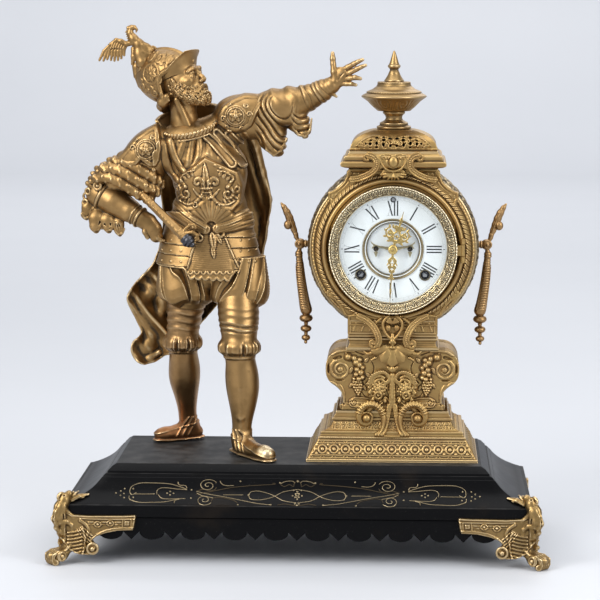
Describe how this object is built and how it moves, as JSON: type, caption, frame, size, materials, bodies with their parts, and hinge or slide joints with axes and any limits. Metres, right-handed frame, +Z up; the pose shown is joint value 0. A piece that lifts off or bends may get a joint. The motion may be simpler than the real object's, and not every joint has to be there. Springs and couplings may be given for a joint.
{
  "type": "figural mantel clock",
  "caption": "Mantel clock: cast figure in court armour beside a round gilt clock case with urn, porcelain dial and pendulum, on a black enamelled base with gilt scroll feet.",
  "frame": {"origin": "centre of the base at the level the feet stand on", "axes": "+Z up, +X towards the clock case as seen from the front, front faces -Y"},
  "size_m": [0.5, 0.237, 0.5296],
  "materials": {
    "enamel_black": "black satin enamel, slightly dusty, with incised gilt lines on the front",
    "gilt_case": "matt antique gilt over cast metal",
    "gilt_foot": "brighter antique gilt over cast metal, dark in the hollows",
    "figure_bronze": "bronze-gold patina, dark in the hollows, rubbed bright on high points",
    "brass": "aged polished brass",
    "hand_gilt": "bright gilt",
    "porcelain": "white fired enamel with black numerals",
    "dial_glass": "clear bevelled glass",
    "steel": "oiled steel",
    "gong_iron": "blued wire gong"
  },
  "bodies": {
    "root": {"base_slab": "enamel_black", "base_skirt": "enamel_black", "foot_front_left": "gilt_foot", "foot_front_right": "gilt_foot", "foot_back_left": "gilt_foot", "foot_back_right": "gilt_foot", "figure_nut_front": "steel", "figure_nut_rear": "steel", "figure_body": "figure_bronze", "figure_head": "figure_bronze", "helmet_crest": "figure_bronze", "figure_arm_raised": "figure_bronze", "figure_arm_akimbo": "figure_bronze", "dagger": "figure_bronze", "cape": "figure_bronze", "figure_leg_front": "figure_bronze", "figure_leg_rear": "figure_bronze", "case_plinth": "gilt_case", "pedestal_body": "gilt_case", "neck_block": "gilt_case", "drum_case": "gilt_case", "cornice": "gilt_case", "dome_vent": "gilt_case", "urn_body": "gilt_case", "urn_finial": "gilt_case", "pedestal_mount": "gilt_case", "lower_cartouche": "gilt_case", "upper_cartouche": "gilt_case", "side_handle_left": "gilt_case", "side_handle_right": "gilt_case", "back_door_hinge": "brass", "bezel_hinge_pin": "brass", "dial_ring": "porcelain", "dial_centre_ring": "brass", "dial_centre": "porcelain", "escapement_bridge": "hand_gilt", "plate_front": "brass", "plate_back": "brass", "gong": "gong_iron"},
    "bezel_door": {"bezel": "brass", "bezel_glass": "dial_glass"},
    "rear_door": {"back_door": "gilt_case"},
    "centre_arbor": {"centre_wheel": "steel", "minute_hand": "hand_gilt", "hand_nut": "brass"},
    "hour_pipe": {"hour_wheel": "brass", "hour_hand": "hand_gilt"},
    "minute_work": {"minute_wheel": "brass"},
    "second_arbor": {"second_wheel": "brass"},
    "third_arbor": {"third_wheel": "brass"},
    "escape_arbor": {"escape_wheel": "brass"},
    "time_great": {"time_great_wheel": "brass"},
    "strike_great": {"strike_great_wheel": "brass"},
    "time_winder": {"time_winding_arbor": "steel"},
    "strike_winder": {"strike_winding_arbor": "steel"},
    "pallets": {"pallet_anchor": "steel"},
    "pendulum": {"pendulum_rod": "steel", "pendulum_bob": "brass"},
    "regulator": {"regulator_arbor": "steel"},
    "gong_hammer": {"hammer": "brass"}
  },
  "joints": [
    {"name": "minute_spin", "type": "hinge", "parent": "root", "child": "centre_arbor", "pos_m": [0.093, 0, 0.3075], "axis": [0, 1, 0], "continuous": true},
    {"name": "hour_spin", "type": "hinge", "parent": "root", "child": "hour_pipe", "pos_m": [0.093, 0, 0.3075], "axis": [0, 1, 0], "continuous": true},
    {"name": "minute_wheel_spin", "type": "hinge", "parent": "root", "child": "minute_work", "pos_m": [0.08347, 0, 0.302], "axis": [0, 1, 0], "continuous": true},
    {"name": "second_wheel_spin", "type": "hinge", "parent": "root", "child": "second_arbor", "pos_m": [0.10162, 0, 0.28835], "axis": [0, 1, 0], "continuous": true},
    {"name": "third_wheel_spin", "type": "hinge", "parent": "root", "child": "third_arbor", "pos_m": [0.07853, 0, 0.31998], "axis": [0, 1, 0], "continuous": true},
    {"name": "escape_spin", "type": "hinge", "parent": "root", "child": "escape_arbor", "pos_m": [0.093, 0, 0.3285], "axis": [0, 1, 0], "continuous": true},
    {"name": "time_great_spin", "type": "hinge", "parent": "root", "child": "time_great", "pos_m": [0.125, 0, 0.2817], "axis": [0, 1, 0], "continuous": true},
    {"name": "strike_great_spin", "type": "hinge", "parent": "root", "child": "strike_great", "pos_m": [0.061, 0, 0.2817], "axis": [0, 1, 0], "continuous": true},
    {"name": "time_winding_spin", "type": "hinge", "parent": "root", "child": "time_winder", "pos_m": [0.125, 0, 0.2817], "axis": [0, 1, 0], "continuous": true},
    {"name": "strike_winding_spin", "type": "hinge", "parent": "root", "child": "strike_winder", "pos_m": [0.061, 0, 0.2817], "axis": [0, 1, 0], "continuous": true},
    {"name": "pendulum_swing", "type": "hinge", "parent": "root", "child": "pendulum", "pos_m": [0.093, 0.017, 0.3455], "axis": [0, 1, 0], "range_deg": [-4, 4]},
    {"name": "pallet_rock", "type": "hinge", "parent": "root", "child": "pallets", "pos_m": [0.093, 0, 0.3455], "axis": [0, 1, 0], "range_deg": [-4, 4]},
    {"name": "regulator_turn", "type": "hinge", "parent": "root", "child": "regulator", "pos_m": [0.093, 0, 0.357], "axis": [0, 1, 0], "range_deg": [-180, 180]},
    {"name": "hammer_lift", "type": "hinge", "parent": "root", "child": "gong_hammer", "pos_m": [0.069, 0.028, 0.2695], "axis": [0, 1, 0], "range_deg": [0, 5]},
    {"name": "bezel_swing", "type": "hinge", "parent": "root", "child": "bezel_door", "pos_m": [0.1625, -0.047, 0.3075], "axis": [0, 0, 1], "range_deg": [0, 100]},
    {"name": "rear_door_swing", "type": "hinge", "parent": "root", "child": "rear_door", "pos_m": [0.1565, 0.0616, 0.3075], "axis": [0, 0, -1], "range_deg": [0, 110]}
  ],
  "couplings": [
    {"joint": "hour_spin", "follows": "minute_spin", "ratio": 0.083333},
    {"joint": "minute_wheel_spin", "follows": "minute_spin", "ratio": -0.33333},
    {"joint": "second_wheel_spin", "follows": "minute_spin", "ratio": -0.16667},
    {"joint": "time_great_spin", "follows": "minute_spin", "ratio": 0.020833},
    {"joint": "third_wheel_spin", "follows": "minute_spin", "ratio": -12},
    {"joint": "escape_spin", "follows": "minute_spin", "ratio": 132},
    {"joint": "pallet_rock", "follows": "pendulum_swing", "ratio": 1}
  ]
}
